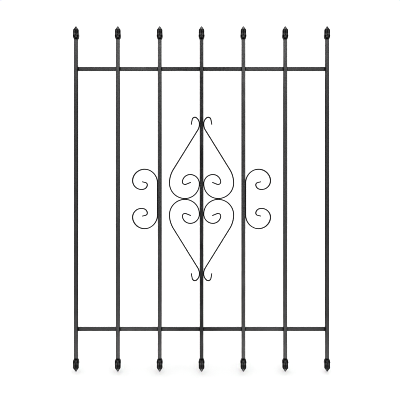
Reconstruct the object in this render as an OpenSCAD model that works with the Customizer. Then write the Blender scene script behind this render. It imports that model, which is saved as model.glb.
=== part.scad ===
// Window security bar: a fixed welded guard of square tube bars lapped on two
// tube rails, with cast bud finials and flat strip scroll work.
// X runs along the rails, Z runs up the bars, -Y is the street side.
// The origin is the centre of the guard's bounding box. Units are millimetres.

/* [Frame] */
// Centre to centre distance between neighbouring bars
bar_pitch = 147.6; // [125:0.1:200]
// Length of a bar's tube, without its finials
bar_len = 1123.8; // [980:0.1:2000]
// Height of each rail's centre line above or below the middle
rail_z = 461; // [300:0.5:530]

/* [Square tube] */
// Outside width of the bar and rail tube
tube_w = 12.7; // [10:0.1:20]
// Wall thickness of the tube
tube_wall = 1.2; // [0.8:0.1:2.5]
// Outside corner radius of the tube
tube_r = 1.5; // [0.5:0.1:3]
// Thickness of the plate that closes a rail's end
cap_plate = 1.2; // [0.8:0.1:4]
// Length of the plug part of a rail's end cap
cap_plug = 11; // [4:0.5:25]
// Gap between a plug or shank and the tube wall around it
plug_gap = 0.2; // [0.05:0.05:0.6]

/* [Finials] */
// Width over the widest part of a finial
finial_w = 21.5; // [18:0.1:50]
// Height of a finial above the end of its tube
finial_h = 47.7; // [20:0.1:120]
// Depth of the valley down each face as a share of the half width
finial_valley = 0.17; // [0:0.01:0.3]
// Squareness of the finial's section, where 2 is round
finial_square = 3.4; // [2:0.1:8]
// Length of the square shank inside the tube
shank_len = 18; // [8:1:40]

/* [Heart scrolls] */
// Thickness of the scroll strip
strip_t = 3.175; // [2:0.005:5]
// Depth of the scroll strip from front to back
strip_d = 9.5; // [6:0.5:12]
// Radius of the outer half of the heart's lobe
lobe_r = 54.6; // [50:0.1:60]
// Radius of the inner quarter of the lobe, which comes up against the bar
lobe_inner_r = 50.6; // [46:0.1:56]
// Length that lies flat against the bar at the lobe
lobe_run = 1.8; // [0.5:0.1:10]
// Radius of the easy bend from the lobe into the long run
lobe_blend_r = 90.8; // [70:0.1:140]
// Slope of the long straight run
heart_slope = 58.2; // [54:0.1:64]
// Radius of the bend that brings the long run against the bar
crook_r = 36.8; // [20:0.1:60]
// Length that lies flat against the bar at the crook
crook_run = 3.8; // [0.5:0.1:15]
// Radius of the bend that leaves the bar above the crook
crook_out_r = 25.3; // [12:0.1:50]
// Turn of that bend
crook_out_turn = 53; // [30:1:70]
// Radius of the small hook at the top
hook_r = 9.4; // [7:0.1:15]
// Turn of the small hook
hook_turn = 115.8; // [80:0.1:135]
// Straight tail of the hook
hook_tail = 18.2; // [2:0.1:25]
// Radius of the curl as it leaves the bar
curl_r = 32.1; // [28:0.1:36]
// Turn of that part of the curl
curl_turn = 88.9; // [75:0.1:100]
// Radius of the second part of the curl
curl_in_r = 27.8; // [22:0.1:34]
// Turn of the second part of the curl
curl_in_turn = 84.6; // [60:0.1:100]
// Radius of the tight bend at the curl's end
curl_bend_r = 9.3; // [7:0.1:12]
// Turn of the tight bend at the curl's end
curl_bend_turn = 118.3; // [80:0.1:130]
// Straight tail of the curl
curl_tail = 18.6; // [2:0.1:24]

/* [Side scrolls] */
// Half of the straight run that lies against the bar
side_straight = 56.8; // [40:0.1:120]
// Radius of the first bend
side_r1 = 49.1; // [44:0.1:56]
// Turn of the first bend
side_turn1 = 55.2; // [45:0.1:65]
// Radius of the second bend
side_r2 = 42.6; // [38:0.1:47]
// Turn of the second bend
side_turn2 = 111.3; // [100:0.1:120]
// Radius of the third bend
side_r3 = 31.3; // [28:0.1:35]
// Turn of the third bend
side_turn3 = 119.1; // [100:0.1:130]
// Radius of the fourth bend
side_r4 = 16.6; // [13:0.1:20]
// Turn of the fourth bend
side_turn4 = 67.4; // [50:0.1:80]
// Radius of the tight bend at the eye
side_bend_r = 8.5; // [6:0.1:11]
// Turn of the tight bend at the eye
side_bend_turn = 83.6; // [40:0.1:100]
// Straight tail of the eye
side_tail = 11.6; // [2:0.1:14]

/* [Fixing holes] */
// Diameter of the screw holes through the sides of the end bars
hole_d = 7; // [4:0.1:9]
// Height of each fixing hole above or below the middle
hole_z = 400; // [50:1:430]

/* [Welds] */
// Radius of the fillet beads between the bars and the rails
bead_r = 2.2; // [1:0.1:4]
// Radius of the tack beads on the scroll strips
tack_r = 1.9; // [1:0.1:3.5]
// Length of a tack bead
tack_len = 13; // [8.5:0.5:30]

/* [Hidden] */
$fn = 48;
middle_bar = 4;                        // the seven bars are numbered from the left
arc_step = 5;                          // degrees of bend to one facet of a strip
last = middle_bar - 1;                 // bars run from -last to last
n_bars = 2 * last + 1;
bar_y = -(tube_w + tube_w / 2 - finial_w / 2) / 2;  // bars' axis plane, which puts the origin at the box centre
rail_y = bar_y + tube_w;               // the rails lie behind the bars
end_x = last * bar_pitch;              // centre of an end bar
side_x = end_x + tube_w / 2;           // outside face of an end bar
rail_half = side_x - cap_plate;        // half of a rail's tube
bore_w = tube_w - 2 * tube_wall;       // clear width inside the tube
plug_w = bore_w - 2 * plug_gap;
strip_x = tube_w / 2 + strip_t / 2;    // strip centre line against a bar's side
lobe_x = -(strip_x + lobe_inner_r);    // lowest point of the upper left lobe
lobe_z = strip_t / 2 + lobe_inner_r + lobe_run / 2;  // middle of its contact with the bar
finial_n = 24;                         // points around a finial's section

// ---------------------------------------------------------------- square tube

module rounded_square(w, r) {
  square([w, w - 2 * r], center = true);
  square([w - 2 * r, w], center = true);
  for (sx = [-1, 1], sy = [-1, 1])
    translate([sx * (w / 2 - r), sy * (w / 2 - r)]) circle(r = r);
}

module tube_outline() rounded_square(tube_w, tube_r);

module tube_section() {
  difference() {
    tube_outline();
    rounded_square(bore_w, max(tube_r - tube_wall, 0.4));
  }
}

function bar_x(i) = (i - middle_bar) * bar_pitch;

// A bar's full envelope, used to trim the weld beads that touch it.
module bar_envelope(i, z0, z1)
  translate([bar_x(i), bar_y, z0]) linear_extrude(height = z1 - z0) tube_outline();

module rail_envelope(z)
  translate([-side_x, rail_y, z]) rotate([0, 90, 0])
    linear_extrude(height = 2 * side_x) tube_outline();

module bar(i) {
  difference() {
    translate([bar_x(i), bar_y, -bar_len / 2])
      linear_extrude(height = bar_len) tube_section();
    if (i == 1 || i == n_bars)
      for (s = [-1, 1])
        translate([bar_x(i), bar_y, s * hole_z]) rotate([0, 90, 0])
          cylinder(d = hole_d, h = tube_w + 4, center = true);
  }
}

module rail(z)
  translate([-rail_half, rail_y, z]) rotate([0, 90, 0])
    linear_extrude(height = 2 * rail_half) tube_section();

// Pressed end cap: a plate flush with the end bar, and a plug inside the tube.
module rail_cap(s, z)
  translate([s * rail_half, rail_y, z]) rotate([0, s * 90, 0]) {
    linear_extrude(height = cap_plate) tube_outline();
    translate([0, 0, -cap_plug])
      difference() {
        linear_extrude(height = cap_plug) rounded_square(plug_w, 0.6);
        translate([0, 0, -1])
          linear_extrude(height = cap_plug - 1) rounded_square(plug_w - 3, 0.6);
      }
  }

// -------------------------------------------------------------------- finials

// Half width of the bud at a share u of its height: a bowl that springs from the
// tube, a bulge, a slight waist, a shoulder, then four faces that close on the point.
bud = [
  [0.000, 0.600], [0.030, 0.655], [0.060, 0.720], [0.090, 0.785], [0.130, 0.865],
  [0.180, 0.930], [0.240, 0.975], [0.300, 1.000], [0.360, 0.980], [0.450, 0.950],
  [0.550, 0.945], [0.630, 0.945], [0.680, 0.930], [0.720, 0.880], [0.760, 0.790],
  [0.830, 0.560], [0.900, 0.360], [0.960, 0.180], [1.000, 0.040]
];

// Smooth step from 0 at a to 1 at b.
function ease(a, b, u) = let (t = min(1, max(0, (u - a) / (b - a)))) t * t * (3 - 2 * t);

// Depth of the valley at a share u of the height: it starts as a scoop above the
// bowl and runs out at the shoulder.
function valley(u) = finial_valley * ease(0.22, 0.36, u) * (1 - ease(0.66, 0.80, u));

// Signed angle from the middle of the nearest face.
function face_angle(a) = a - 90 * round(a / 90);

// Rounded square with a valley down each face, for a half width of about 1.
function bud_r(a, u) =
  pow(pow(abs(cos(a)), finial_square) + pow(abs(sin(a)), finial_square), -1 / finial_square)
  * (1 - valley(u) * exp(-pow(face_angle(a) / 13, 2)));

// The section is sized so that its lobes, not its valleys, reach the half width.
function ring(half, u, z) =
  let (
    at = [for (k = [0:finial_n - 1]) 360 * k / finial_n],
    size = half / max([for (a = at) bud_r(a, u) * cos(a)])
  )
  [for (a = at) [size * bud_r(a, u) * cos(a), size * bud_r(a, u) * sin(a), z]];

// The shank's rings come first, then the shelf that sits on the tube, then the bud.
function finial_rings() = concat(
  [ring(plug_w / 2 - 0.9, 0, -shank_len), ring(plug_w / 2, 0, -shank_len + 1.2), ring(plug_w / 2, 0, 0)],
  [for (s = bud) ring(s[1] * finial_w / 2, s[0], s[0] * finial_h)]
);

module finial() {
  rings = finial_rings();
  m = len(rings);
  n = finial_n;
  points = [for (r = rings) for (p = r) p];
  sides = [
    for (j = [0:m - 2], k = [0:n - 1])
      [j * n + k, (j + 1) * n + k, (j + 1) * n + (k + 1) % n, j * n + (k + 1) % n]
  ];
  split = [for (f = sides) each [[f[0], f[1], f[2]], [f[0], f[2], f[3]]]];
  bottom = [for (k = [0:n - 1]) k];
  top = [for (k = [n - 1:-1:0]) (m - 1) * n + k];
  polyhedron(points = points, faces = concat(split, [bottom], [top]), convexity = 4);
}

module top_finial(i)
  translate([bar_x(i), bar_y, bar_len / 2]) finial();

module bottom_finial(i)
  translate([bar_x(i), bar_y, -bar_len / 2]) rotate([180, 0, 0]) finial();

// ---------------------------------------------------------------- scroll work
// A strip is bent to a schedule of [length, 0] runs and [radius, turn] bends.
// A station is [x, z, heading].

function bend_at(st, r, a) =
  let (s = sign(a), h = st[2], g = h + a)
  [st[0] - s * r * sin(h) + s * r * sin(g), st[1] + s * r * cos(h) - s * r * cos(g), g];

function run_at(st, l) = [st[0] + l * cos(st[2]), st[1] + l * sin(st[2]), st[2]];

function seg_end(st, seg) = seg[1] == 0 ? run_at(st, seg[0]) : bend_at(st, seg[0], seg[1]);

function seg_stations(st, seg) =
  seg[1] == 0 ? [run_at(st, seg[0])]
  : let (n = ceil(abs(seg[1]) / arc_step)) [for (k = [1:n]) bend_at(st, seg[0], seg[1] * k / n)];

function stations(st, segs, i = 0) =
  i == len(segs) ? []
  : concat(seg_stations(st, segs[i]), stations(seg_end(st, segs[i]), segs, i + 1));

// Turns a list of stations round, so that a path can be joined at its start.
function reversed(list) = [
  for (k = [len(list) - 1:-1:0]) [list[k][0], list[k][1], list[k][2] + 180]
];

function strip_outline(path) = concat(
  [for (p = path) [p[0] + strip_t / 2 * sin(p[2]), p[1] - strip_t / 2 * cos(p[2])]],
  [for (k = [len(path) - 1:-1:0])
    let (p = path[k]) [p[0] - strip_t / 2 * sin(p[2]), p[1] + strip_t / 2 * cos(p[2])]]
);

// Outline mirrored to a quadrant, with its order kept anticlockwise.
function placed(outline, sx, sz) =
  let (q = [for (p = outline) [sx * p[0], sz * p[1]]])
  sx * sz > 0 ? q : [for (k = [len(q) - 1:-1:0]) q[k]];

// The upper left strip, from the hook's tail to the curl's tail.
lobe_start = [lobe_x, strip_t / 2, 0];
lobe_side = bend_at([lobe_x, strip_t / 2, 180], lobe_r, -90);
lobe_exit = bend_at(lobe_side, lobe_blend_r, -(90 - heart_slope));
// Length of the straight run that brings the crook's side against the bar.
heart_run = (-strip_x - crook_r * (1 - sin(heart_slope)) - lobe_exit[0]) / cos(heart_slope);
heart_back = stations([lobe_x, strip_t / 2, 180], [
  [lobe_r, -90], [lobe_blend_r, -(90 - heart_slope)], [heart_run, 0],
  [crook_r, 90 - heart_slope], [crook_run, 0], [crook_out_r, crook_out_turn],
  [hook_r, hook_turn], [hook_tail, 0]
]);
heart_front = stations(lobe_start, [
  [lobe_inner_r, 90], [lobe_run, 0], [curl_r, curl_turn], [curl_in_r, curl_in_turn],
  [curl_bend_r, curl_bend_turn], [curl_tail, 0]
]);
heart_path = concat(reversed(heart_back), [lobe_start], heart_front);
// Middle of the crook's contact with the bar.
crook_z = run_at(lobe_exit, heart_run)[1] + crook_r * cos(heart_slope) + crook_run / 2;

module heart_strip(sx, sz)
  translate([0, bar_y, 0]) rotate([90, 0, 0])
    linear_extrude(height = strip_d, center = true)
      polygon(placed(strip_outline(heart_path), sx, sz));

// The left side scroll, symmetric about the middle height.
side_start = [-bar_pitch - strip_x, 0, 90];
side_half = stations(side_start, [
  [side_straight, 0], [side_r1, side_turn1], [side_r2, side_turn2], [side_r3, side_turn3],
  [side_r4, side_turn4], [side_bend_r, side_bend_turn], [side_tail, 0]
]);
side_lower = [for (p = side_half) [p[0], -p[1], -p[2]]];
side_path = concat(reversed(side_lower), side_half);

module side_strip(sx)
  translate([0, bar_y, 0]) rotate([90, 0, 0])
    linear_extrude(height = strip_d, center = true)
      polygon(placed(strip_outline(side_path), sx, 1));

// ---------------------------------------------------------------------- welds

// A bead with rounded ends, centred on the origin along Z.
module bead(r, l) {
  cylinder(r = r, h = l - 2 * r, center = true);
  for (s = [-1, 1]) translate([0, 0, s * (l / 2 - r)]) sphere(r = r);
}

// Fillets up both sides of a bar where it crosses a rail.
module crossing_beads(i, z)
  for (s = [-1, 1])
    if (abs(bar_x(i) + s * (tube_w / 2 + bead_r)) < side_x)
      difference() {
        translate([bar_x(i) + s * tube_w / 2, bar_y + tube_w / 2, z])
          bead(bead_r, tube_w - 1.5);
        bar_envelope(i, z - tube_w, z + tube_w);
        rail_envelope(z);
      }

module rail_beads(z)
  for (i = [1:n_bars]) crossing_beads(i, z);

// A tack in the corner between a bar's side and a strip's back edge. It is cut
// flat where it lies on the strip and round where it lies on the bar.
module bar_tack(i, s, z)
  difference() {
    translate([bar_x(i) + s * (tube_w / 2 + 0.5), bar_y + strip_d / 2 + 0.1, z])
      bead(tack_r, tack_len);
    translate([bar_x(i) - 2 * tube_w, bar_y + strip_d / 2 - 20, z - tack_len])
      cube([4 * tube_w, 20, 2 * tack_len]);
    bar_envelope(i, z - 1.5 * tack_len, z + 1.5 * tack_len);
  }

// -------------------------------------------------------------------- nodes

module vertical_bar_1() color([0.09, 0.09, 0.10]) bar(1);
module vertical_bar_2() color([0.09, 0.09, 0.10]) bar(2);
module vertical_bar_3() color([0.09, 0.09, 0.10]) bar(3);
module vertical_bar_4() color([0.09, 0.09, 0.10]) bar(4);
module vertical_bar_5() color([0.09, 0.09, 0.10]) bar(5);
module vertical_bar_6() color([0.09, 0.09, 0.10]) bar(6);
module vertical_bar_7() color([0.09, 0.09, 0.10]) bar(7);

module top_rail() color([0.12, 0.12, 0.13]) rail(rail_z);
module bottom_rail() color([0.12, 0.12, 0.13]) rail(-rail_z);

module top_rail_cap_left() color([0.16, 0.16, 0.17]) rail_cap(-1, rail_z);
module top_rail_cap_right() color([0.16, 0.16, 0.17]) rail_cap(1, rail_z);
module bottom_rail_cap_left() color([0.16, 0.16, 0.17]) rail_cap(-1, -rail_z);
module bottom_rail_cap_right() color([0.16, 0.16, 0.17]) rail_cap(1, -rail_z);

module top_finial_1() color([0.05, 0.05, 0.06]) top_finial(1);
module top_finial_2() color([0.05, 0.05, 0.06]) top_finial(2);
module top_finial_3() color([0.05, 0.05, 0.06]) top_finial(3);
module top_finial_4() color([0.05, 0.05, 0.06]) top_finial(4);
module top_finial_5() color([0.05, 0.05, 0.06]) top_finial(5);
module top_finial_6() color([0.05, 0.05, 0.06]) top_finial(6);
module top_finial_7() color([0.05, 0.05, 0.06]) top_finial(7);
module bottom_finial_1() color([0.05, 0.05, 0.06]) bottom_finial(1);
module bottom_finial_2() color([0.05, 0.05, 0.06]) bottom_finial(2);
module bottom_finial_3() color([0.05, 0.05, 0.06]) bottom_finial(3);
module bottom_finial_4() color([0.05, 0.05, 0.06]) bottom_finial(4);
module bottom_finial_5() color([0.05, 0.05, 0.06]) bottom_finial(5);
module bottom_finial_6() color([0.05, 0.05, 0.06]) bottom_finial(6);
module bottom_finial_7() color([0.05, 0.05, 0.06]) bottom_finial(7);

module heart_scroll_upper_left() color([0.11, 0.11, 0.12]) heart_strip(1, 1);
module heart_scroll_upper_right() color([0.11, 0.11, 0.12]) heart_strip(-1, 1);
module heart_scroll_lower_left() color([0.11, 0.11, 0.12]) heart_strip(1, -1);
module heart_scroll_lower_right() color([0.11, 0.11, 0.12]) heart_strip(-1, -1);
module side_scroll_left() color([0.11, 0.11, 0.12]) side_strip(1);
module side_scroll_right() color([0.11, 0.11, 0.12]) side_strip(-1);

module top_rail_welds() color([0.20, 0.20, 0.21]) rail_beads(rail_z);
module bottom_rail_welds() color([0.20, 0.20, 0.21]) rail_beads(-rail_z);

// Where each heart strip lies against the middle bar: at the crook and at the lobe.
module heart_bar_tacks() color([0.20, 0.20, 0.21])
  for (sx = [1, -1], sz = [1, -1], z = [crook_z, lobe_z])
    bar_tack(middle_bar, sx, sz * z);

// Where the upper and lower lobes touch, along both back edges.
module heart_joint_tacks() color([0.20, 0.20, 0.21])
  for (sx = [1, -1])
    difference() {
      translate([sx * lobe_x, bar_y + strip_d / 2 + 0.1, 0]) rotate([0, 90, 0])
        bead(tack_r, tack_len);
      translate([sx * lobe_x - tack_len, bar_y + strip_d / 2 - 20, -10])
        cube([2 * tack_len, 20, 20]);
    }

// Where the side scrolls' straight runs lie against their bars.
module side_scroll_tacks() color([0.20, 0.20, 0.21])
  for (s = [-1, 1], z = [-1, 1])
    bar_tack(middle_bar + s, s, z * side_straight * 0.72);

vertical_bar_1();
vertical_bar_2();
vertical_bar_3();
vertical_bar_4();
vertical_bar_5();
vertical_bar_6();
vertical_bar_7();
top_rail();
bottom_rail();
top_rail_cap_left();
top_rail_cap_right();
bottom_rail_cap_left();
bottom_rail_cap_right();
top_finial_1();
top_finial_2();
top_finial_3();
top_finial_4();
top_finial_5();
top_finial_6();
top_finial_7();
bottom_finial_1();
bottom_finial_2();
bottom_finial_3();
bottom_finial_4();
bottom_finial_5();
bottom_finial_6();
bottom_finial_7();
heart_scroll_upper_left();
heart_scroll_upper_right();
heart_scroll_lower_left();
heart_scroll_lower_right();
side_scroll_left();
side_scroll_right();
top_rail_welds();
bottom_rail_welds();
heart_bar_tacks();
heart_joint_tacks();
side_scroll_tacks();
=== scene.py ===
"""Looks for the window security bar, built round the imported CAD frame."""

import math

import bpy
import bmesh
import numpy as np
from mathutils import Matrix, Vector


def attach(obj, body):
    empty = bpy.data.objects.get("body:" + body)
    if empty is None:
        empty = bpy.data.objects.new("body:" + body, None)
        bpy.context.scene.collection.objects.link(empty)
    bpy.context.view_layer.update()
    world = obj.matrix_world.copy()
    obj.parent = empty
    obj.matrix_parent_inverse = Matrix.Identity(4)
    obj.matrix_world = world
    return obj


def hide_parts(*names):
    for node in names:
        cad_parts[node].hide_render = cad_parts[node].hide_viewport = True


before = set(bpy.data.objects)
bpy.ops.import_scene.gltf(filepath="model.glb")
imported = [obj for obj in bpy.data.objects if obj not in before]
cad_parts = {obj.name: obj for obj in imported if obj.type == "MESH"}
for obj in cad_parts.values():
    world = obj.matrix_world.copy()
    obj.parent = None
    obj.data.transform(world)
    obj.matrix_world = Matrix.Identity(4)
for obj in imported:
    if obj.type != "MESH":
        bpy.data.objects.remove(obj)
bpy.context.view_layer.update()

# ----------------------------------------------------------------- dimensions
# Millimetres, the same design sizes as the CAD source. Meshes are divided by 1000.
PITCH = 147.6
BAR_LEN = 1123.8
RAIL_Z = 461.0
W = 12.7
WALL = 1.2
R = 1.5
CAP = 1.2
FW, FH = 21.5, 47.7
STRIP_T, STRIP_D = 3.175, 9.5
HOLE_D, HOLE_Z = 7.0, 400.0
BEAD_R, TACK_R, TACK_L = 2.2, 1.9, 13.0
BAR_Y = -(W + W / 2 - FW / 2) / 2
RAIL_Y = BAR_Y + W
SIDE_X = 3 * PITCH + W / 2
RAIL_HALF = SIDE_X - CAP
BORE = W - 2 * WALL
STRIP_X = W / 2 + STRIP_T / 2
rng = np.random.default_rng(7)


# ------------------------------------------------------------------ mesh tools
def make(name, verts, faces, sharp=40.0):
    mesh = bpy.data.meshes.new(name)
    mesh.from_pydata([tuple(v) for v in np.asarray(verts, float) / 1000.0], [], [tuple(int(i) for i in f) for f in faces])
    mesh.validate()
    bm = bmesh.new()
    bm.from_mesh(mesh)
    bmesh.ops.remove_doubles(bm, verts=bm.verts, dist=1e-7)
    bmesh.ops.dissolve_degenerate(bm, edges=bm.edges, dist=1e-7)
    bmesh.ops.recalc_face_normals(bm, faces=bm.faces)
    bm.to_mesh(mesh)
    bm.free()
    mesh.polygons.foreach_set("use_smooth", [True] * len(mesh.polygons))
    mesh.set_sharp_from_angle(angle=math.radians(sharp))
    mesh.update()
    o = bpy.data.objects.new(name, mesh)
    bpy.context.scene.collection.objects.link(o)
    return o


def true_flats(o):
    """Shades the wide faces flat and leaves the turn to the corners between them."""
    m = o.modifiers.new("true_flats", "WEIGHTED_NORMAL")
    m.mode, m.weight, m.keep_sharp = "FACE_AREA", 100, True


def loft(rings, closed_ends=True, loop=False):
    """Verts and faces of a tube through equal rings of points."""
    rings = [np.asarray(r, float) for r in rings]
    n, m = len(rings[0]), len(rings)
    verts = np.vstack(rings)
    faces = []
    for j in range(m if loop else m - 1):
        a, b = j * n, ((j + 1) % m) * n
        for k in range(n):
            q = (k + 1) % n
            faces.append((a + k, a + q, b + q, b + k))
    if closed_ends and not loop:
        faces.append(tuple(range(n - 1, -1, -1)))
        faces.append(tuple((m - 1) * n + k for k in range(n)))
    return verts, faces


def rounded_square(w, r, seg=6):
    """Points round a square of width w with corner radius r, anticlockwise."""
    out = []
    for q in range(4):
        cx, cy = [(1, 1), (-1, 1), (-1, -1), (1, -1)][q]
        for k in range(seg + 1):
            a = math.radians(90 * q + 90 * k / seg)
            out.append((cx * (w / 2 - r) + r * math.cos(a), cy * (w / 2 - r) + r * math.sin(a)))
    return np.array(out)


def value_noise(p, cell, seed):
    """Smooth noise in -1..1 at points p with the given cell size, from a hashed lattice."""
    q = np.asarray(p, float) / cell + seed * 17.13
    i = np.floor(q).astype(np.int64)
    f = q - i
    f = f * f * (3 - 2 * f)
    total = 0.0
    for dx in (0, 1):
        for dy in (0, 1):
            for dz in (0, 1):
                h = (i[:, 0] + dx) * 374761393 + (i[:, 1] + dy) * 668265263 + (i[:, 2] + dz) * 2147483647 + seed * 974711
                h = (h ^ (h >> 13)) * 1274126177
                h = ((h ^ (h >> 16)) & 0xFFFF) / 32767.5 - 1.0
                wgt = (f[:, 0] if dx else 1 - f[:, 0]) * (f[:, 1] if dy else 1 - f[:, 1]) * (f[:, 2] if dz else 1 - f[:, 2])
                total = total + h * wgt
    return total


# ----------------------------------------------------------------- square tube
def tube(name, half, along, centre, flare=0.0):
    """Hollow square tube with rounded corners and a broken edge at both ends.
    along is 'z' or 'x', half its half length, centre its other two coordinates."""
    outer, inner = rounded_square(W, R, 7), rounded_square(BORE, 0.5, 7)
    e = 0.25
    trimmed = outer * ((W - 2 * e) / W)
    lengths = np.linspace(-half + e, half - e, 24)
    rings = [(inner, -half), (trimmed, -half)]
    rings += [(outer, s) for s in lengths]
    rings += [(trimmed, half), (inner, half)]
    rings += [(inner, s) for s in lengths[::-1]]
    pts = []
    for sec, s in rings:
        if along == "z":
            pts.append(np.c_[sec[:, 0] + centre[0], sec[:, 1] + centre[1], np.full(len(sec), s)])
        else:
            pts.append(np.c_[np.full(len(sec), s), sec[:, 0] + centre[0], sec[:, 1] + centre[1]])
    return make(name, *loft(pts, loop=True))


def drill(obj, cutters):
    """Cuts holes through obj's mesh and keeps only the cut mesh."""
    for c in cutters:
        m = obj.modifiers.new("cut", "BOOLEAN")
        m.operation, m.solver, m.object = "DIFFERENCE", "EXACT", c
    dg = bpy.context.evaluated_depsgraph_get()
    cut = bpy.data.meshes.new_from_object(obj.evaluated_get(dg))
    obj.modifiers.clear()
    old = obj.data
    obj.data = cut
    cut.name = obj.name
    bpy.data.meshes.remove(old)
    for c in cutters:
        mesh = c.data
        bpy.data.objects.remove(c)
        bpy.data.meshes.remove(mesh)
    obj.data.polygons.foreach_set("use_smooth", [True] * len(obj.data.polygons))
    obj.data.set_sharp_from_angle(angle=math.radians(35))


def screw_cutter(x, z):
    """A plain hole with a lightly broken edge on both outer faces of the tube."""
    a = np.linspace(0, 2 * math.pi, 40, endpoint=False)
    prof = [(-W, 0.45), (-W / 2 - 0.01, 0.45), (-W / 2 + 0.45, 0.0), (W / 2 - 0.45, 0.0), (W / 2 + 0.01, 0.45), (W, 0.45)]
    rings = [np.c_[np.full(40, x + s), BAR_Y + (HOLE_D / 2 + g) * np.cos(a), z + (HOLE_D / 2 + g) * np.sin(a)] for s, g in prof]
    return make("cutter", *loft(rings))


pieces = {}
for i in range(1, 8):
    x = (i - 4) * PITCH
    o = tube(f"tube_bar_{i}", BAR_LEN / 2, "z", (x, BAR_Y))
    if i in (1, 7):
        drill(o, [screw_cutter(x, s * HOLE_Z) for s in (-1, 1)])
    pieces[o.name] = (o, "bars", [f"vertical_bar_{i}"])
for name, z in (("top", RAIL_Z), ("bottom", -RAIL_Z)):
    o = tube(f"tube_rail_{name}", RAIL_HALF, "x", (RAIL_Y, z))
    pieces[o.name] = (o, "rails", [f"{name}_rail"])


# Pressed caps: a softly domed plate and a plug that fills the tube's mouth.
def rail_cap(name, s, z):
    plate, plug = rounded_square(W, R, 7), rounded_square(BORE - 0.4, 0.6, 7)
    rings = []
    for off, sec in ((-10.9, plug * 0.9), (-10.2, plug), (0.0, plug), (0.0, plate), (CAP - 0.55, plate),
                     (CAP - 0.32, plate * 0.985), (CAP - 0.12, plate * 0.95), (CAP, plate * 0.88)):
        rings.append(np.c_[np.full(len(sec), s * (RAIL_HALF + off)), sec[:, 0] + RAIL_Y, sec[:, 1] + z])
    return make(name, *loft(rings), sharp=50)


for row, z in (("top", RAIL_Z), ("bottom", -RAIL_Z)):
    for side, s in (("left", -1), ("right", 1)):
        o = rail_cap(f"cap_{row}_{side}", s, z)
        pieces[o.name] = (o, "rail_caps", [f"{row}_rail_cap_{side}"])

# -------------------------------------------------------------------- finials
BUD = np.array([
    (0.000, 0.600), (0.030, 0.655), (0.060, 0.720), (0.090, 0.785), (0.130, 0.865),
    (0.180, 0.930), (0.240, 0.975), (0.300, 1.000), (0.360, 0.980), (0.450, 0.950),
    (0.550, 0.945), (0.630, 0.945), (0.680, 0.930), (0.720, 0.880), (0.760, 0.790),
    (0.830, 0.560), (0.900, 0.360), (0.960, 0.180), (1.000, 0.040)])


def ease(a, b, u):
    t = min(1.0, max(0.0, (u - a) / (b - a)))
    return t * t * (3 - 2 * t)


def smooth_profile(u):
    """Monotone cubic through the bud's stations."""
    x, y = BUD[:, 0], BUD[:, 1]
    h, d = np.diff(x), np.diff(y) / np.diff(x)
    m = np.zeros(len(x))
    m[0], m[-1] = d[0], d[-1]
    for k in range(1, len(x) - 1):
        if d[k - 1] * d[k] > 0:
            w1, w2 = 2 * h[k] + h[k - 1], h[k] + 2 * h[k - 1]
            m[k] = (w1 + w2) / (w1 / d[k - 1] + w2 / d[k])
    k = np.clip(np.searchsorted(x, u, side="right") - 1, 0, len(x) - 2)
    t = (u - x[k]) / h[k]
    return ((1 + 2 * t) * (1 - t) ** 2 * y[k] + t * (1 - t) ** 2 * h[k] * m[k]
            + t * t * (3 - 2 * t) * y[k + 1] + t * t * (t - 1) * h[k] * m[k + 1])


def section(half, u, n, z):
    a = np.linspace(0, 2 * math.pi, n, endpoint=False)
    power = 3.4
    face = (np.degrees(a) + 45) % 90 - 45
    deep = 0.17 * ease(0.22, 0.36, u) * (1 - ease(0.66, 0.80, u))
    r = (np.abs(np.cos(a)) ** power + np.abs(np.sin(a)) ** power) ** (-1 / power)
    r = r * (1 - deep * np.exp(-(face / 13) ** 2))
    r = r * half / np.max(r * np.cos(a))
    return np.c_[r * np.cos(a), r * np.sin(a), np.full(n, z)]


def finial(name, i, up):
    n = 96
    half = FW / 2
    rings = [section(4.0, 0, n, -17.6), section(4.9, 0, n, -16.8), section(4.9, 0, n, 0.0)]
    rings.append(section(0.595 * half, 0, n, 0.0))
    us = np.r_[np.linspace(0.004, 0.2, 18), np.linspace(0.213, 0.38, 18), np.linspace(0.395, 0.64, 14), np.linspace(0.655, 1.0, 30)]
    for u in us:
        rings.append(section(float(smooth_profile(u)) * half, float(u), n, float(u) * FH))
    rings.append(section(0.018 * half, 1.0, n, FH))
    verts, faces = loft(rings)
    out = verts[:, 2] > 0.05
    # The cast skin is never quite even: two layers of smooth noise press it in a little, less towards both ends.
    skin = value_noise(verts + i * 40, 3.0, 11 + i + (50 if up else 0)) * 0.02 + value_noise(verts + i * 40, 9.0, 3 + i) * 0.04
    radial = verts[:, :2] / (np.linalg.norm(verts[:, :2], axis=1, keepdims=True) + 1e-9)
    low = np.clip(verts[:, 2] / 6, 0, 1) * np.clip((FH - verts[:, 2]) / 5, 0, 1)
    verts[out, :2] -= radial[out] * (np.abs(skin) * low)[out, None]
    if not up:
        verts[:, 1] *= -1
        verts[:, 2] *= -1
    verts[:, 2] += (1 if up else -1) * BAR_LEN / 2
    verts[:, 0] += (i - 4) * PITCH
    verts[:, 1] += BAR_Y
    return make(name, verts, faces, sharp=55)


for i in range(1, 8):
    for row, up in (("top", True), ("bottom", False)):
        o = finial(f"bud_{row}_{i}", i, up)
        pieces[o.name] = (o, "finials", [f"{row}_finial_{i}"])


# ---------------------------------------------------------------- scroll strips
def bend(st, r, a):
    s, h, g = math.copysign(1, a), math.radians(st[2]), math.radians(st[2] + a)
    return (st[0] - s * r * math.sin(h) + s * r * math.sin(g), st[1] + s * r * math.cos(h) - s * r * math.cos(g), st[2] + a)


def run(st, length):
    h = math.radians(st[2])
    return (st[0] + length * math.cos(h), st[1] + length * math.sin(h), st[2])


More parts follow.
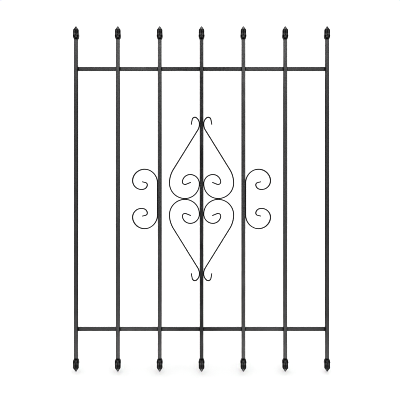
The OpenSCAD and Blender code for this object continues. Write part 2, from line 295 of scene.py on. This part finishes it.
def stations(st, segs, arc=1.8, step=9.0):
    out = []
    for a, b in segs:
        if b == 0:
            n = max(1, int(math.ceil(a / step)))
            out += [run(st, a * k / n) for k in range(1, n + 1)]
            st = run(st, a)
        else:
            n = max(2, int(math.ceil(abs(b) / arc)))
            out += [bend(st, a, b * k / n) for k in range(1, n + 1)]
            st = bend(st, a, b)
    return out


def turned(path):
    return [(p[0], p[1], p[2] + 180) for p in path[::-1]]


LOBE_R, LOBE_IN, LOBE_RUN, BLEND_R, SLOPE = 54.6, 50.6, 1.8, 90.8, 58.2
CROOK_R, CROOK_RUN = 36.8, 3.8
SIDE_RUN = 56.8
LOBE_X, LOBE_Z = -(STRIP_X + LOBE_IN), STRIP_T / 2 + LOBE_IN + LOBE_RUN / 2
lobe_exit = bend(bend((LOBE_X, STRIP_T / 2, 180), LOBE_R, -90), BLEND_R, -(90 - SLOPE))
slope = math.radians(SLOPE)
heart_run = (-STRIP_X - CROOK_R * (1 - math.sin(slope)) - lobe_exit[0]) / math.cos(slope)
CROOK_Z = run(lobe_exit, heart_run)[1] + CROOK_R * math.cos(slope) + CROOK_RUN / 2
heart_path = (
    turned(stations((LOBE_X, STRIP_T / 2, 180), [
        (LOBE_R, -90), (BLEND_R, -(90 - SLOPE)), (heart_run, 0), (CROOK_R, 90 - SLOPE), (CROOK_RUN, 0),
        (25.3, 53), (9.4, 115.8), (18.2, 0)]))
    + [(LOBE_X, STRIP_T / 2, 0)]
    + stations((LOBE_X, STRIP_T / 2, 0), [
        (LOBE_IN, 90), (LOBE_RUN, 0), (32.1, 88.9), (27.8, 84.6), (9.3, 118.3), (18.6, 0)]))
side_start = (-PITCH - STRIP_X, 0, 90)
side_half = stations(side_start, [
    (SIDE_RUN, 0), (49.1, 55.2), (42.6, 111.3), (31.3, 119.1), (16.6, 67.4), (8.5, 83.6), (11.6, 0)])
side_path = turned([(p[0], -p[1], -p[2]) for p in side_half]) + side_half


def strip(name, path, sx, sz, seed):
    """A flat bar with rolled edges bent along path, mirrored to its quadrant."""
    r, seg = 0.55, 4
    sec = []
    for q in range(4):
        cx, cy = [(1, 1), (-1, 1), (-1, -1), (1, -1)][q]
        for k in range(seg + 1):
            a = math.radians(90 * q + 90 * k / seg)
            sec.append((cx * (STRIP_T / 2 - r) + r * math.cos(a), cy * (STRIP_D / 2 - r) + r * math.sin(a)))
    sec = np.array(sec)
    first, last = path[0], path[-1]
    ends = 0.35
    path = [first, run(first, ends)] + list(path[1:-1]) + [run(last, -ends), last]
    rings = []
    for k, (x, z, th) in enumerate(path):
        h = math.radians(th)
        n = np.array([math.sin(h), -math.cos(h)])
        f = 1.0 if 0 < k < len(path) - 1 else 0.8
        g = 1.0 if 0 < k < len(path) - 1 else 0.93
        px, pz = x + sec[:, 0] * f * n[0], z + sec[:, 0] * f * n[1]
        rings.append(np.c_[sx * px, BAR_Y + sec[:, 1] * g, sz * pz])
    return make(name, *loft(rings), sharp=50)


k = 0
for v, sz in (("upper", 1), ("lower", -1)):
    for s, sx in (("left", 1), ("right", -1)):
        k += 1
        o = strip(f"heart_{v}_{s}", heart_path, sx, sz, k)
        pieces[o.name] = (o, "scroll_strips", [f"heart_scroll_{v}_{s}"])
for s, sx in (("left", 1), ("right", -1)):
    k += 1
    o = strip(f"c_scroll_{s}", side_path, sx, 1, k)
    pieces[o.name] = (o, "scroll_strips", [f"side_scroll_{s}"])


# ------------------------------------------------------------------ weld beads
def outside_bar(p, x, slack=0.0):
    """Moves points p (x, y) that lie in the bar at x to its rounded skin."""
    q = p - np.array([x, BAR_Y])
    inner = W / 2 - R
    c = np.clip(q, -inner, inner)
    d = q - c
    length = np.linalg.norm(d, axis=1)
    inside = length < R
    flat = inside & (length < 1e-9)
    safe = np.where(length[:, None] < 1e-9, 1.0, length[:, None])
    q = np.where((inside & ~flat)[:, None], c + d / safe * R, q)
    return q + np.array([x, BAR_Y])


def bead_mesh(length, radius, seed, ripple=1.15, around=28, along=None):
    """Rings of (u, v, s): a bead along s with crescent ripples, before trimming."""
    along = along or int(length / 0.22)
    t = np.linspace(-1, 1, along)
    s = length / 2 * np.sin(t * math.pi / 2)
    a = np.linspace(0, 2 * math.pi, around, endpoint=False)
    rings = []
    phase = rng.uniform(0, 1)
    for z in s:
        over = max(0.0, abs(z) - (length / 2 - radius)) / radius
        env = math.sqrt(max(0.0, 1 - over * over))
        bow = 0.55 * np.sin(a) ** 2
        wave = ((z / ripple + phase + bow) % 1.0)
        rr = radius * env * (0.93 + 0.07 * (1 - wave) ** 0.7)
        rr = rr * (1 + 0.03 * math.sin(z * 1.7 + seed))
        rings.append((rr, a, z))
    return rings


def crossing_bead(i, s, z):
    x = (i - 4) * PITCH
    corner = np.array([x + s * W / 2, BAR_Y + W / 2])
    rings = []
    for rr, a, h in bead_mesh(W - 1.5, BEAD_R, i * 3 + s):
        p = np.c_[corner[0] + rr * np.cos(a), corner[1] + rr * np.sin(a)]
        p[:, 1] = np.minimum(p[:, 1], BAR_Y + W / 2)
        p = outside_bar(p, x)
        rings.append(np.c_[p, np.full(len(p), z + h)])
    return loft(rings)


def bar_tack(i, s, z):
    x = (i - 4) * PITCH
    c = np.array([x + s * (W / 2 + 0.5), BAR_Y + STRIP_D / 2 + 0.1])
    rings = []
    for rr, a, h in bead_mesh(TACK_L, TACK_R, i + z):
        p = np.c_[c[0] + rr * np.cos(a), c[1] + rr * np.sin(a)]
        p = outside_bar(p, x)
        p[:, 1] = np.maximum(p[:, 1], BAR_Y + STRIP_D / 2)
        rings.append(np.c_[p, np.full(len(p), z + h)])
    return loft(rings)


def joint_tack(x):
    rings = []
    for rr, a, h in bead_mesh(TACK_L, TACK_R, x):
        y = np.maximum(BAR_Y + STRIP_D / 2 + 0.1 + rr * np.sin(a), BAR_Y + STRIP_D / 2)
        rings.append(np.c_[np.full(len(a), x + h), y, rr * np.cos(a)])
    return loft(rings)


def merged(name, parts):
    verts, faces, base = [], [], 0
    for v, f in parts:
        verts.append(v)
        faces += [tuple(i + base for i in face) for face in f]
        base += len(v)
    return make(name, np.vstack(verts), faces, sharp=60)


for row, z in (("top", RAIL_Z), ("bottom", -RAIL_Z)):
    beads = [crossing_bead(i, s, z) for i in range(1, 8) for s in (-1, 1)
             if not (i == 1 and s == -1) and not (i == 7 and s == 1)]
    o = merged(f"beads_{row}_rail", beads)
    pieces[o.name] = (o, "welds", [f"{row}_rail_welds"])
o = merged("tacks_heart_bar", [bar_tack(4, -sx, sz * z) for sx in (1, -1) for sz in (1, -1) for z in (CROOK_Z, LOBE_Z)])
pieces[o.name] = (o, "welds", ["heart_bar_tacks"])
o = merged("tacks_heart_joint", [joint_tack(sx * LOBE_X) for sx in (1, -1)])
pieces[o.name] = (o, "welds", ["heart_joint_tacks"])
o = merged("tacks_side_scroll", [bar_tack(4 + s, s, q * SIDE_RUN * 0.72) for s in (-1, 1) for q in (-1, 1)])
pieces[o.name] = (o, "welds", ["side_scroll_tacks"])


# ------------------------------------------------------------------- materials
def powder(name, tint, rough, peel, seed, dust=0.5, grain=0.0, shine=0.5):
    """Black powder coat on steel: orange peel, slow unevenness in gloss, light
    dust on what faces up, and thin polished edges."""
    m = bpy.data.materials.new(name)
    m.use_nodes = True
    nt = m.node_tree
    nt.nodes.clear()
    new = nt.nodes.new
    link = nt.links.new
    out = new("ShaderNodeOutputMaterial")
    bsdf = new("ShaderNodeBsdfPrincipled")
    link(bsdf.outputs[0], out.inputs["Surface"])
    coord = new("ShaderNodeTexCoord")

    def noise(scale, detail=2.0, roughness=0.5, w=0.0):
        n = new("ShaderNodeTexNoise")
        n.noise_dimensions = "4D"
        n.inputs["W"].default_value = seed + w
        n.inputs["Scale"].default_value = scale
        n.inputs["Detail"].default_value = detail
        n.inputs["Roughness"].default_value = roughness
        link(coord.outputs["Object"], n.inputs["Vector"])
        return n

    def mapped(sock, a, b, c, d):
        r = new("ShaderNodeMapRange")
        r.inputs["From Min"].default_value, r.inputs["From Max"].default_value = a, b
        r.inputs["To Min"].default_value, r.inputs["To Max"].default_value = c, d
        link(sock, r.inputs["Value"])
        return r.outputs[0]

    def math_node(op, a, b=None):
        n = new("ShaderNodeMath")
        n.operation = op
        for k, v in enumerate((a, b)):
            if v is None:
                continue
            if isinstance(v, (int, float)):
                n.inputs[k].default_value = v
            else:
                link(v, n.inputs[k])
        return n.outputs[0]

    # Gloss: patches about 60 mm across, and a fine mottling.
    patches = noise(16, 3, 0.6, 1.0)
    fine = noise(420, 2, 0.5, 2.0)
    r = math_node("ADD", mapped(patches.outputs["Fac"], 0.3, 0.7, rough - 0.05, rough + 0.06),
                  mapped(fine.outputs["Fac"], 0.3, 0.7, -0.02, 0.02))

    # Dust on surfaces that face up, broken up by noise.
    geo = new("ShaderNodeNewGeometry")
    sep = new("ShaderNodeSeparateXYZ")
    link(geo.outputs["Normal"], sep.inputs[0])
    up = mapped(sep.outputs["Z"], 0.55, 1.0, 0.0, 1.0)
    speck = noise(900, 4, 0.65, 3.0)
    dusty = math_node("MULTIPLY", up, mapped(speck.outputs["Fac"], 0.42, 0.72, 0.0, dust))

    colour = new("ShaderNodeMix")
    colour.data_type = "RGBA"
    colour.inputs[6].default_value = (*tint, 1)
    colour.inputs[7].default_value = (0.11, 0.11, 0.108, 1)
    link(math_node("MULTIPLY", dusty, 0.35), colour.inputs[0])

    # A slow drift in the black, as a coat of uneven build shows it.
    drift = new("ShaderNodeMix")
    drift.data_type = "RGBA"
    drift.blend_type = "MULTIPLY"
    drift.inputs[0].default_value = 1.0
    ramp = new("ShaderNodeValToRGB")
    ramp.color_ramp.elements[0].color = (0.82, 0.82, 0.82, 1)
    ramp.color_ramp.elements[0].position = 0.3
    ramp.color_ramp.elements[1].color = (1.18, 1.18, 1.18, 1)
    ramp.color_ramp.elements[1].position = 0.7
    link(noise(38, 3, 0.55, 4.0).outputs["Fac"], ramp.inputs[0])
    link(colour.outputs[2], drift.inputs[6])
    link(ramp.outputs[0], drift.inputs[7])

    # Edges: the coat thins and rubs bright there, in broken stretches.
    bevel = new("ShaderNodeBevel")
    bevel.samples = 4
    bevel.inputs["Radius"].default_value = 0.0006
    facing = new("ShaderNodeVectorMath")
    facing.operation = "DOT_PRODUCT"
    link(bevel.outputs[0], facing.inputs[0])
    link(geo.outputs["Normal"], facing.inputs[1])
    edge = mapped(facing.outputs["Value"], 0.985, 0.90, 0.0, 1.0)
    rubbed = math_node("MULTIPLY", edge, mapped(noise(55, 3, 0.6, 8.0).outputs["Fac"], 0.42, 0.66, 0.1, 1.0))
    worn = new("ShaderNodeMix")
    worn.data_type = "RGBA"
    worn.inputs[7].default_value = (0.055, 0.0545, 0.0535, 1)
    link(math_node("MULTIPLY", rubbed, 0.4), worn.inputs[0])
    link(drift.outputs[2], worn.inputs[6])
    link(worn.outputs[2], bsdf.inputs["Base Color"])
    rough_all = math_node("ADD", r, math_node("MULTIPLY", dusty, 0.3))
    link(math_node("SUBTRACT", rough_all, math_node("MULTIPLY", rubbed, 0.05)), bsdf.inputs["Roughness"])

    # Orange peel at about 1.5 mm, a longer ripple, and grain where it is cast.
    height = math_node("MULTIPLY", noise(650, 2, 0.45, 5.0).outputs["Fac"], 1.0)
    height = math_node("ADD", height, math_node("MULTIPLY", noise(110, 1, 0.5, 6.0).outputs["Fac"], 2.2))
    if grain:
        height = math_node("ADD", height, math_node("MULTIPLY", noise(1500, 3, 0.6, 7.0).outputs["Fac"], grain))
    bump = new("ShaderNodeBump")
    bump.inputs["Strength"].default_value = 1.0
    bump.inputs["Distance"].default_value = peel
    link(height, bump.inputs["Height"])
    link(bump.outputs[0], bsdf.inputs["Normal"])
    bsdf.inputs["Specular IOR Level"].default_value = shine
    bsdf.inputs["IOR"].default_value = 1.5
    bsdf.inputs["Coat Weight"].default_value = 0.0
    return m


MATERIALS = {
    "bars": powder("coat_bars", (0.030, 0.030, 0.031), 0.16, 0.00003, 1.0),
    "rails": powder("coat_rails", (0.028, 0.028, 0.029), 0.17, 0.00003, 2.0, shine=0.46),
    "rail_caps": powder("coat_caps", (0.016, 0.016, 0.0163), 0.27, 0.00004, 3.0),
    "finials": powder("coat_finials", (0.008, 0.008, 0.0082), 0.12, 0.000024, 4.0, dust=0.3, grain=0.4),
    "scroll_strips": powder("coat_strips", (0.008, 0.008, 0.0082), 0.28, 0.00004, 5.0, shine=0.25),
    "welds": powder("coat_welds", (0.012, 0.012, 0.0122), 0.25, 0.00007, 6.0, grain=0.8),
}

for o, slot_name, nodes in pieces.values():
    if slot_name in ("bars", "rails", "rail_caps", "scroll_strips"):
        true_flats(o)
    o.data.materials.clear()
    o.data.materials.append(MATERIALS[slot_name])
    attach(o, "root")
    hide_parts(*nodes)

# ------------------------------------------------------------------------ stage
scene = bpy.context.scene
scene.view_settings.view_transform = "Raw"
scene.view_settings.look = "None"
scene.view_settings.exposure = 0.0
scene.view_settings.gamma = 1.0
scene.cycles.filter_width = 1.0

FLOOR_Z = -0.6125
# Reflected light levels: the lens (centre, beside it, degrees to there), the two
# soft boxes above and below it, and the room round the object.
LENS, BOX, BOX_WIDE, BAND = (0.0, 8.6, 3.7), 12.6, (15.0, 27.0), (8.0, 14.5)
GAP, FALL, RIM = (1.4, 3.7, 0.18), 0.58, 1.85
WALL_SIDE, WALL_BACK, ROOM, ROOM_BACK, CEILING, FILL = 0.25, 0.3, 2.0, 3.2, 8.5, 1.8
AROUND, FLANK, DARK = 6.0, (2.5, 5.0, 2.0), 0.3
mesh = bpy.data.meshes.new("floor")
s = 14.0
mesh.from_pydata([(-s, -s, FLOOR_Z), (s, -s, FLOOR_Z), (s, s, FLOOR_Z), (-s, s, FLOOR_Z)], [], [(0, 1, 2, 3)])
floor = bpy.data.objects.new("floor", mesh)
scene.collection.objects.link(floor)
fm = bpy.data.materials.new("floor")
fm.use_nodes = True
b = fm.node_tree.nodes["Principled BSDF"]
b.inputs["Base Color"].default_value = (0.4, 0.4, 0.4, 1)
b.inputs["Emission Color"].default_value = (1, 1, 1, 1)
b.inputs["Emission Strength"].default_value = 0.245
b.inputs["Roughness"].default_value = 0.9
b.inputs["Specular IOR Level"].default_value = 0.0
floor.data.materials.append(fm)
floor.visible_glossy = False

# World: white to the eye. To the coat it is a studio with bright floor and
# ceiling bounce, two soft boxes above and below the lens, and walls that are
# dark at the sides and behind the object.
world = bpy.data.worlds.new("studio")
scene.world = world
world.use_nodes = True
wt = world.node_tree
wt.nodes.clear()


def wmath(op, a, b=None):
    n = wt.nodes.new("ShaderNodeMath")
    n.operation = op
    for k, v in enumerate((a, b)):
        if isinstance(v, (int, float)):
            n.inputs[k].default_value = v
        elif v is not None:
            wt.links.new(v, n.inputs[k])
    return n.outputs[0]


def wrange(sock, lo, hi, to_lo, to_hi):
    n = wt.nodes.new("ShaderNodeMapRange")
    n.interpolation_type = "SMOOTHSTEP"
    for k, v in zip((1, 2, 3, 4), (lo, hi, to_lo, to_hi)):
        if isinstance(v, (int, float)):
            n.inputs[k].default_value = v
        else:
            wt.links.new(v, n.inputs[k])
    wt.links.new(sock, n.inputs[0])
    return n.outputs[0]


wout = wt.nodes.new("ShaderNodeOutputWorld")
coords = wt.nodes.new("ShaderNodeTexCoord")
norm = wt.nodes.new("ShaderNodeVectorMath")
norm.operation = "NORMALIZE"
wt.links.new(coords.outputs["Generated"], norm.inputs[0])
axis = wt.nodes.new("ShaderNodeSeparateXYZ")
wt.links.new(norm.outputs[0], axis.inputs[0])
wx, wy, wz = axis.outputs
deg = 180 / math.pi
azimuth = wmath("MULTIPLY", wmath("ABSOLUTE", wmath("ARCTAN2", wx, wmath("MULTIPLY", wy, -1.0))), deg)
height = wmath("MULTIPLY", wmath("ABSOLUTE", wmath("ARCSINE", wz)), deg)
fall = wrange(azimuth, 4.0, 7.8, 1.0, FALL)
ahead = wmath("MULTIPLY", fall, wrange(azimuth, 1.2, LENS[2], LENS[0], LENS[1]))
box = wmath("MULTIPLY", fall, wrange(azimuth, GAP[0], GAP[1], GAP[2] * BOX, BOX))
boxes = wrange(height, BAND[0], BAND[1], ahead, box)
boxes = wrange(height, 15.0, 21.0, boxes, wmath("MULTIPLY", boxes, RIM))
boxes = wrange(height, 23.0, 28.0, boxes, DARK)
patch = wmath("MULTIPLY", wrange(azimuth, 24.0, 34.0, 0.0, 1.0), wrange(azimuth, 56.0, 68.0, 1.0, 0.0))
patch = wmath("MULTIPLY", patch, wrange(height, 17.0, 23.0, 0.0, 1.0))
patch = wmath("MULTIPLY", patch, wrange(height, 32.0, 42.0, 1.0, 0.0))
around = wrange(patch, 0.0, 1.0, WALL_SIDE, AROUND)
flank = wrange(height, 8.0, 14.0, FLANK[0], FLANK[1])
flank = wrange(height, 18.0, 24.0, flank, FLANK[2])
behind = wrange(height, 9.5, 12.0, WALL_BACK, 1.15)
behind = wrange(height, 16.0, 34.0, behind, ROOM_BACK)
near = wrange(azimuth, 12.0, 17.0, boxes, around)
wide = wrange(azimuth, BOX_WIDE[0], BOX_WIDE[1], boxes, around)
level = wrange(height, 10.0, 12.5, near, wide)
level = wrange(azimuth, 68.0, 84.0, level, flank)
level = wrange(azimuth, 150.0, 166.0, level, behind)
spine = wmath("MULTIPLY", wrange(wmath("ABSOLUTE", wx), 0.12, 0.20, 1.0, 0.0), wrange(wy, 0.0, 0.12, 1.0, 0.0))
level = wrange(height, 46.0, 54.0, level, wrange(spine, 0.0, 1.0, ROOM, CEILING))


def background(strength):
    n = wt.nodes.new("ShaderNodeBackground")
    n.inputs["Color"].default_value = (1, 1, 1, 1)
    if isinstance(strength, (int, float)):
        n.inputs["Strength"].default_value = strength
    else:
        wt.links.new(strength, n.inputs["Strength"])
    return n.outputs[0]


path = wt.nodes.new("ShaderNodeLightPath")


def choose(flag, no, yes):
    n = wt.nodes.new("ShaderNodeMixShader")
    wt.links.new(path.outputs[flag], n.inputs[0])
    wt.links.new(no, n.inputs[1])
    wt.links.new(yes, n.inputs[2])
    return n.outputs[0]


mixed = choose("Is Diffuse Ray", background(level), background(FILL))
wt.links.new(choose("Is Camera Ray", mixed, background(1.05)), wout.inputs["Surface"])


def area(name, at, look, size, power, size_y=None):
    data = bpy.data.lights.new(name, "AREA")
    data.energy = power
    data.size = size
    if size_y:
        data.shape, data.size_y = "RECTANGLE", size_y
    o = bpy.data.objects.new(name, data)
    o.location = at
    o.rotation_mode = "QUATERNION"
    o.rotation_quaternion = (Vector(look) - Vector(at)).to_track_quat("-Z", "Y")
    o.visible_camera = False
    scene.collection.objects.link(o)
    return o


area("overhead", (0.4, -1.2, 3.2), (0, 0, -0.3), 3.0, 10, 2.4)

# ----------------------------------------------------------------------- camera
cam_data = bpy.data.cameras.new("camera")
cam_data.sensor_width = 36.0
CAM_DIST = 2.34
MM_PX = 3.5288
cam_data.lens = 18.0 / ((200 * MM_PX / 1000) / (CAM_DIST + BAR_Y / 1000))
cam = bpy.data.objects.new("camera", cam_data)
scene.collection.objects.link(cam)
cam.location = (-1.55 * MM_PX / 1000, -CAM_DIST, -1.05 * MM_PX / 1000)
cam.rotation_euler = (math.radians(90), 0, 0)
cam_data.clip_start, cam_data.clip_end = 0.05, 100
scene.camera = cam
